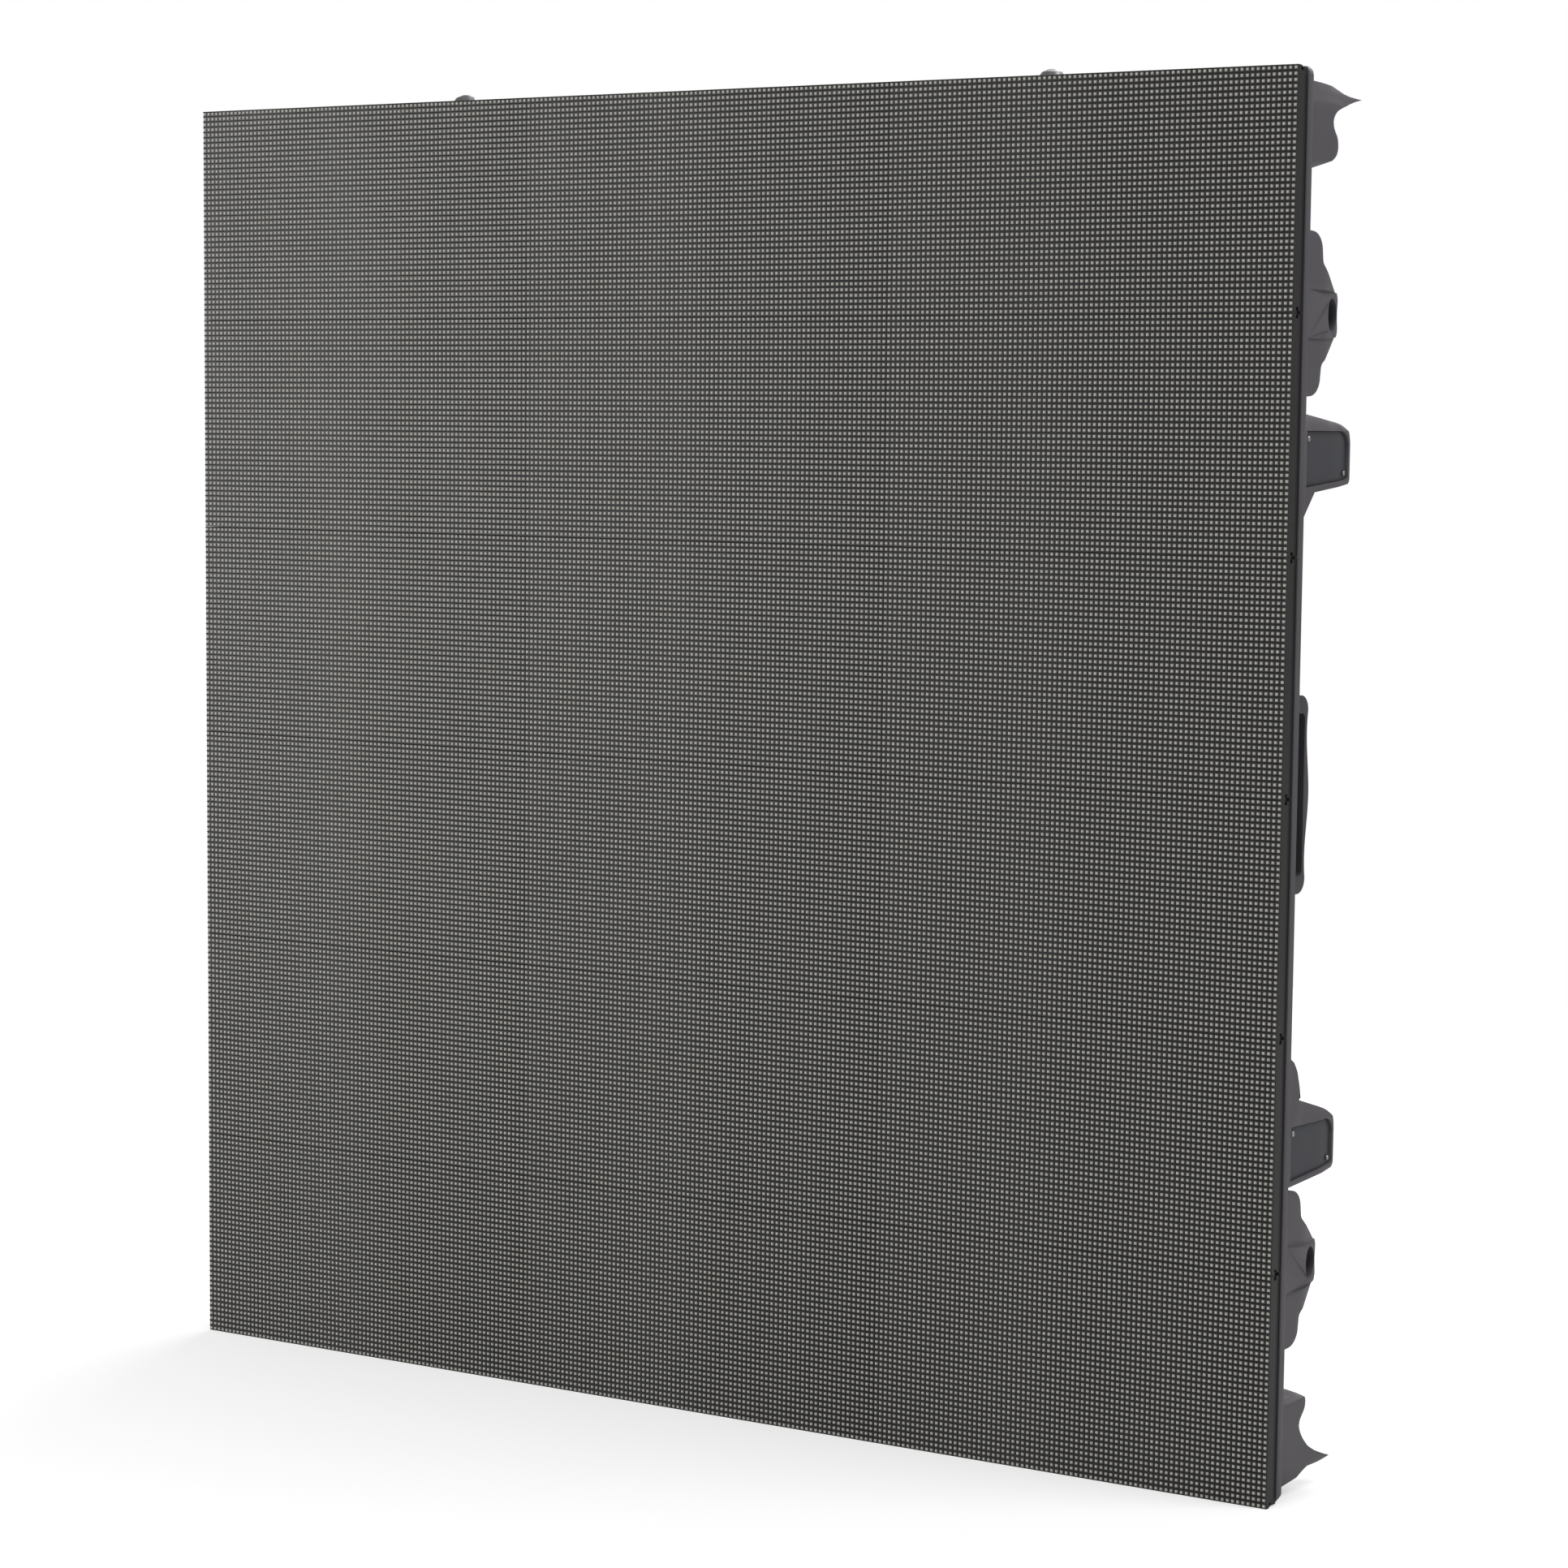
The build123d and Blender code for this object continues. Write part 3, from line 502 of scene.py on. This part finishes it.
def lamp_distance(place):
    """How far a spot of a lamp's front is from a place on it, in widths of the lamp."""
    return lamp_epoxy.node("VectorMath", {"operation": "DISTANCE"}, {0: across, 1: place},
                           output="Value")


cup = lamp_epoxy.ramp(lamp_distance((0.5, 0.5, 0)), [(0.30, 1), (0.42, 0)])
chip_radius, chips = 0.055, 0
for height in (0.3, 0.5, 0.7):
    chips = chips + (lamp_distance((0.5, height, 0)) < chip_radius)
body = lamp_epoxy.blend(cup, colour(180, 177, 171), colour(198, 195, 189))
body = lamp_epoxy.blend(tint * 0.22, body, colour(120, 119, 118))
lamp_epoxy.set(Base_Color=lamp_epoxy.blend(chips * 0.6, body, colour(112, 110, 100)))


def lamp_blocks(centre_x, centre_z):
    """Square packages on the lamp grid, each of 8 points and 5 quads with an open back: a wider
    foot behind and a narrower front, at the centre plus whole pitches."""
    x = centre_x + (np.arange(lamp_columns) - (lamp_columns - 1) / 2) * lamp_pitch
    z = centre_z + (np.arange(lamp_rows) - (lamp_rows - 1) / 2) * lamp_pitch
    middle = np.stack(np.meshgrid(x, z), -1).reshape(-1, 1, 2)
    turn = np.array([[-1, -1], [1, -1], [1, 1], [-1, 1]])
    outline = np.concatenate([middle + turn * lamp_half, middle + turn * lamp_front_half], 1)
    depth = np.broadcast_to(np.repeat([foot_y, lamp_front_y], 4), outline.shape[:2])
    points = np.stack([outline[..., 0], depth, outline[..., 1]], -1).reshape(-1, 3)
    quads = [[k, (k + 1) % 4, 4 + (k + 1) % 4, 4 + k] for k in range(4)] + [[4, 5, 6, 7]]
    return points, (np.arange(lamp_count)[:, None, None] * 8 + np.array(quads)).reshape(-1, 4)


def louvre_bars(low_x, high_x, bottom):
    """Louvres over the rows, one every pitch above the bottom: a bar with a sloping top and a
    flatter underside, its profile of four points swept from one side to the other and closed
    at both ends. The last one is lowered by its root, to stay on its mask."""
    line = bottom + lamp_pitch * np.arange(1, lamp_rows + 1)
    line[-1] = line[-1] - louvre_root
    profile = np.array([[-louvre_root * louvre_under, foot_y], [-louvre_tip, face_y],
                        [louvre_tip, face_y], [louvre_root, foot_y]])
    z = line[:, None] + profile[:, 0]
    y = np.broadcast_to(profile[:, 1], z.shape)
    ends = [np.stack([np.full_like(z, x), y, z], -1) for x in (low_x, high_x)]
    points = np.concatenate(ends, 1).reshape(-1, 3)
    quads = np.array([[0, 4, 5, 1], [1, 5, 6, 2], [2, 6, 7, 3], [0, 1, 2, 3], [7, 6, 5, 4]])
    return points, (np.arange(lamp_rows)[:, None, None] * 8 + quads).reshape(-1, 4)


def build_mesh(name, parts):
    """Mesh of several point and quad arrays, each with its finish's number. The quads of a part
    count on from the points of those before it."""
    points = np.concatenate([p for p, _, _ in parts])
    starts = np.cumsum([0] + [len(p) for p, _, _ in parts[:-1]])
    faces = np.concatenate([f + s for (_, f, _), s in zip(parts, starts)])
    slots = np.concatenate([np.full(len(f), m) for _, f, m in parts])
    mesh = bpy.data.meshes.new(name)
    mesh.vertices.add(len(points))
    mesh.vertices.foreach_set("co", points.astype(np.float32).ravel())
    mesh.loops.add(faces.size)
    mesh.loops.foreach_set("vertex_index", faces.astype(np.int32).ravel())
    mesh.polygons.add(len(faces))
    mesh.polygons.foreach_set("loop_start", np.arange(len(faces), dtype=np.int32) * 4)
    mesh.polygons.foreach_set("material_index", slots.astype(np.int32))
    mesh.update(calc_edges=True)
    return mesh


bins = np.random.default_rng(7)


def lamp_marks(mesh, louvre_quads):
    """Marks a module's mesh for its epoxy: the whole square of the lamp map on each lamp's
    front, its first corner on all other faces, and one random tone for each lamp."""
    sides = np.zeros((16, 2), np.float32)
    square = np.array([[0, 0], [1, 0], [1, 1], [0, 1]], np.float32)
    cells = np.tile(np.concatenate([sides, square]), (lamp_count, 1))
    cells = np.concatenate([cells, np.zeros((louvre_quads * 4, 2), np.float32)])
    mesh.uv_layers.new(name="lamp").uv.foreach_set("vector", cells.ravel())
    tones = np.concatenate([np.repeat(bins.random(lamp_count), 5), np.zeros(louvre_quads)])
    marks = mesh.attributes.new("bin", "FLOAT", "FACE")
    marks.data.foreach_set("value", tones.astype(np.float32))


for module in modules:
    low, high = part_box(f"mask_{module}")
    centre_x, centre_z = (low[0] + high[0]) / 2, (low[2] + high[2]) / 2
    shell = solid_copy(f"mask_shell_{module}", f"mask_{module}", edge=0)
    spots = mesh_points(shell.data)
    spots[spots[:, 1] < face_y + 1e-5, 1] = face_y + field_depth
    shell.data.vertices.foreach_set("co", spots.ravel())
    shell.data.shade_flat()
    dress(shell, mask_plastic, slot="mask")

    lamps = lamp_blocks(centre_x, centre_z)
    bars = louvre_bars(low[0], high[0], centre_z - lamp_rows * lamp_pitch / 2)
    mesh = build_mesh(f"lamps_{module}", [(*lamps, 0), (*bars, 1)])
    lamp_marks(mesh, len(bars[1]))
    dress(new_piece(f"lamps_{module}", mesh), lamp_epoxy, mask_plastic, slot="mask")


# The headers on the modules' backs: two shrouded ribbon headers and one pale power header to a
# module, soldered to the lamp board and reached through the frame's windows. The shrouds are
# moulded nylon and the pins tinned wire. Their sizes are in millimetres.

def blocks(places, size):
    """Points and quads of boxes of one size centred at the places: each corner is the place
    plus or minus half the size."""
    corner = np.array([[x, y, z] for y in (-1, 1)
                       for x, z in ((-1, -1), (1, -1), (1, 1), (-1, 1))]) / 2
    quads = np.array([[0, 1, 2, 3], [7, 6, 5, 4], [0, 4, 5, 1], [1, 5, 6, 2], [2, 6, 7, 3],
                      [3, 7, 4, 0]])
    points = (np.array(places)[:, None] + corner * np.array(size)).reshape(-1, 3) / 1000
    return points, (np.arange(len(places))[:, None, None] * 8 + quads).reshape(-1, 4)


def shroud(places, length, breadth, rise):
    """Parts of open headers at the places: a floor of 2 mm and, on its edges, four walls of
    1.6 mm up to the rise."""
    places, wall, base = np.array(places), 1.6, 2
    parts = [(*blocks(places + (0, base / 2, 0), (length, base, breadth)), 0)]
    for hand in (-1, 1):
        parts.append((*blocks(places + (0, (rise + base) / 2, hand * (breadth - wall) / 2),
                              (length, rise - base, wall)), 0))
        parts.append((*blocks(places + (hand * (length - wall) / 2, (rise + base) / 2, 0),
                              (wall, rise - base, breadth - 2 * wall)), 0))
    return parts


tinned_wire = bare_metal("tinned_wire", colour(196, 184, 150), colour(164, 150, 118),
                         scale=500, detail=2, roughness=0.28, spread=0.15)
pale_nylon = Finish("pale_nylon", Specular_IOR_Level=0.45)
milky = pale_nylon.noise(140)
pale_nylon.set(Base_Color=pale_nylon.blend(milky, colour(206, 202, 190), colour(188, 184, 172)),
               Roughness=0.42 + 0.1 * milky)
front, board_back, seam = face_y * 1000, 12, 0.15
module_width, module_height = 320, 160
ribbon_reach, ribbon_pin, ribbon_pin_pitch, ribbon_pin_lift = 104, (0.64, 7, 0.64), 2.54, 4
power_stand, power_pin, power_pin_pitch, power_pin_lift = 3, (1.1, 4.6, 1.1), 3.96, 2.6
backs = [((x - 1) * module_width, front + board_back, (z + 0.5) * module_height - seam)
         for x in range(module_columns) for z in range(module_rows)]
ribbon = [(x + hand * ribbon_reach, y, z) for x, y, z in backs for hand in (-1, 1)]
ribbon_pins = [(x + (k - 3.5) * ribbon_pin_pitch, y + ribbon_pin_lift,
                z + row * ribbon_pin_pitch / 2)
               for x, y, z in ribbon for k in range(8) for row in (-1, 1)]
power = [(x, y + power_stand, z) for x, y, z in backs]
power_pins = [(x + (k - 1.5) * power_pin_pitch, y + power_pin_lift, z)
              for x, y, z in power for k in range(4)]
ribbon_parts = [*shroud(ribbon, length=25.4, breadth=8.8, rise=8.5),
                (*blocks(ribbon_pins, ribbon_pin), 1)]
power_parts = [*shroud(power, length=20, breadth=9.5, rise=5.5),
               (*blocks(power_pins, power_pin), 1)]
for name, parts, plastic in (("ribbon_headers", ribbon_parts, kit_plastic),
                             ("power_headers", power_parts, pale_nylon)):
    dress(new_piece(name, build_mesh(name, parts)), plastic, tinned_wire, slot="kit")


# The module screws: dark zinc cap screws that hold the modules from behind, six to a module,
# where the frame's plate has room. A head is turned from (radius, height) steps in millimetres.
dark_zinc = bare_metal("dark_zinc", colour(96, 94, 92), colour(66, 64, 64),
                       scale=260, detail=3, roughness=0.38, spread=0.15)
cap_profile = [(0.01, 1.2), (1.5, 1.2), (1.5, 2.4), (2.9, 2.4), (3.5, 1.8), (3.5, 0)]
cap_sides, plate_reach = 12, 455
screw_spots = ((-150, -50), (-150, 50), (150, -50), (150, 50), (0, -70), (0, 70))
cap_points, cap_quads = turned_shell(cap_profile, cap_sides)
caps = [(x + dx, z + dz) for x, _, z in backs for dx, dz in screw_spots
        if abs(x + dx) < plate_reach]
cap_parts = [(np.stack([x + cap_points[:, 1], front + plate_back + cap_points[:, 0],
                        z + cap_points[:, 2]], -1) / 1000, cap_quads, 0) for x, z in caps]
module_screws = new_piece("module_screws", build_mesh("module_screws", cap_parts))
module_screws.data.set_sharp_from_angle(angle=0.6)
dress(module_screws, dark_zinc, slot="screw")


# The lock covers: small plates sunk into the lock boxes, painted a bluish dark grey. Each is
# held by two small bright screws, whose heads are drawn in here about their own middles.
cover_paint = powder_coat("cover_paint", colour(64, 65, 71), colour(104, 105, 112))
for level in ("upper", "lower"):
    for hand in ("left", "right"):
        plate = solid_copy(f"cover_{level}_{hand}", f"lock_cover_{level}_{hand}",
                           edge=0.0005, follow=True)
        dress(plate, cover_paint, slot="cover")
bright_zinc = bare_metal("bright_zinc", colour(200, 198, 194), colour(150, 148, 146),
                         scale=300, detail=2, roughness=0.32, spread=0.12)
cover_screws = solid_copy("cover_screws", "lock_cover_screws", edge=0, follow=True)
dress(cover_screws, bright_zinc, slot="screw")
head_share, head_reach = 0.6, 0.008
heads = mesh_points(cover_screws.data)
for height, depth in ((719, 29.6), (695, 83), (252.5, 29.6), (229, 83)):
    middle = np.array([face_y + depth / 1000, height / 1000])
    near = np.abs(heads[:, 1:] - middle).max(1) < head_reach
    centre = (heads[near, 1:].min(0) + heads[near, 1:].max(0)) / 2
    heads[near, 1:] = centre + head_share * (heads[near, 1:] - centre)
cover_screws.data.vertices.foreach_set("co", heads.ravel())


# The side handles: cast grips in the middle of each side, screwed to the frame's beam by their
# feet. They are coated as the frame is, a shade darker, with well rounded edges.
handle_coat = powder_coat("handle_coat", colour(68, 66, 70), colour(122, 119, 124))
for hand in ("left", "right"):
    grip = solid_copy(f"grip_{hand}", f"side_handle_{hand}", edge=0.0012, segments=3)
    dress(grip, handle_coat, slot="handle")
dress(nodes["handle_screws"], bright_zinc)


# The power box: a cast tray on the frame's mullions, coated as the frame is, with three power
# supplies in folded sheet cases and a receiving card on standoffs. The panel sockets in its
# lower wall, for power and signal, are moulded in black plastic.
box_coat = powder_coat("box_coat", colour(98, 96, 101), colour(145, 142, 147))
dress(solid_copy("box_tray", "power_box_tray", edge=0.0008), box_coat, slot="power_box")
sheet_metal = bare_metal("sheet_metal", colour(200, 200, 200), colour(176, 176, 178),
                         scale=80, detail=3, roughness=0.35, spread=0.1)
for number in (1, 2, 3):
    dress(nodes[f"power_supply_{number}"], sheet_metal)
dress(nodes["receiving_card"], board_resist)
plug_plastic = Finish("plug_plastic", Roughness=0.45)
plug_plastic.set(Base_Color=plug_plastic.blend(plug_plastic.noise(120), colour(34, 34, 36),
                                               colour(46, 46, 48)))
for name in ("power_inlet", "power_outlet", "signal_inlet", "signal_outlet"):
    dress(nodes[name], plug_plastic)


# The power box's door: a cast lid on a gasket of black rubber, coated as the tray is and held
# by bright screws along its rim.
seal_rubber = Finish("seal_rubber", Roughness=0.8)
seal_rubber.set(Base_Color=seal_rubber.blend(seal_rubber.noise(200), colour(28, 28, 28),
                                             colour(38, 38, 38)))
dress(nodes["door_gasket"], seal_rubber)
dress(solid_copy("box_door", "power_box_door", edge=0.0008), box_coat, slot="power_box")
dress(nodes["door_screws"], bright_zinc)


# The studio: a square of pale paper under the cabinet, which keeps its shadow, and white
# surroundings. Both look white to the camera and light the cabinet at a plain level.
floor_half, floor_glow, world_light = 2.4, 0.50, 0.38
white, pale = (1, 1, 1, 1), (0.7, 0.7, 0.7, 1)
floor_paper = Finish("floor_paper", Roughness=0.9, Base_Color=pale)
camera_ray = floor_paper.node("LightPath", output="Is Camera Ray")
glow = floor_paper.node("Emission", None, {"Color": white, "Strength": floor_glow * camera_ray})
lit = floor_paper.node("AddShader", None,
                       {0: Tone(floor_paper, floor_paper.shader.outputs[0]), 1: glow})
floor_paper.feed(floor_paper.tree.nodes["Material Output"].inputs["Surface"], lit)
floor_mesh = bpy.data.meshes.new("floor")
floor_mesh.from_pydata([(-floor_half, -floor_half, 0), (floor_half, -floor_half, 0),
                        (floor_half, floor_half, 0), (-floor_half, floor_half, 0)],
                       [], [(0, 1, 2, 3)])
floor_mesh.materials.append(floor_paper.material)
floor = bpy.data.objects.new("floor", floor_mesh)
scene = bpy.context.scene
scene.collection.objects.link(floor)
floor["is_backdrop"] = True

world = bpy.data.worlds.new("studio")
scene.world = world
world.use_nodes = True
sky = world.node_tree
backdrop = sky.nodes["Background"]
backdrop.inputs["Color"].default_value = white
path = sky.nodes.new("ShaderNodeLightPath")
seen = sky.nodes.new("ShaderNodeMath")
seen.operation = "MAXIMUM"
sky.links.new(path.outputs["Is Camera Ray"], seen.inputs[0])
sky.links.new(path.outputs["Is Transmission Ray"], seen.inputs[1])
level = sky.nodes.new("ShaderNodeMapRange")
level.inputs["To Min"].default_value = world_light
level.inputs["To Max"].default_value = 1.0
sky.links.new(seen.outputs[0], level.inputs["Value"])
sky.links.new(level.outputs[0], backdrop.inputs["Strength"])


def soft_lamp(name, place, aim, width, height, power):
    """Rectangular lamp at a place, turned so that it shines at its aim: tilted by the angle
    between straight down and the way to the aim, then turned by that way's bearing."""
    light = bpy.data.lights.new(name, "AREA")
    light.shape = "RECTANGLE"
    light.size, light.size_y, light.energy = width, height, power
    lamp = bpy.data.objects.new(name, light)
    away = np.array(aim) - np.array(place)
    lamp.location = place
    lamp.rotation_euler = (float(np.arctan2(np.hypot(away[0], away[1]), -away[2])), 0,
                           float(np.arctan2(-away[0], away[1])))
    scene.collection.objects.link(lamp)


cabinet_middle = (0, 0, 0.5)
soft_lamp("key", (1.0, -3.2, 3.4), cabinet_middle, width=2.6, height=2.0, power=30)
soft_lamp("left_panel", (-2.9, -2.3, 0.9), cabinet_middle, width=1.4, height=1.8, power=54)
soft_lamp("right_fill", (2.3, 0.5, 3.3), (0.4, 0, 0.7), width=1.6, height=1.6, power=46)
soft_lamp("rear", (-0.6, 3.2, 2.6), cabinet_middle, width=2.6, height=2.0, power=60)

# The camera stands where the photograph was taken from, as the lattice of lamps gives it.
camera_place = (1.8726, -2.5976, 0.7259)
camera_turn = (83.4341, -0.5481, 35.2018)
lens = bpy.data.cameras.new("camera")
lens.sensor_width = 36
lens.lens = 100.474
lens.shift_y = 0.09
lens.clip_end = 100
camera = bpy.data.objects.new("camera", lens)
camera.location = camera_place
camera.rotation_euler = np.radians(camera_turn).tolist()
scene.collection.objects.link(camera)
scene.camera = camera
scene.view_settings.view_transform = "Standard"

low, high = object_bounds()
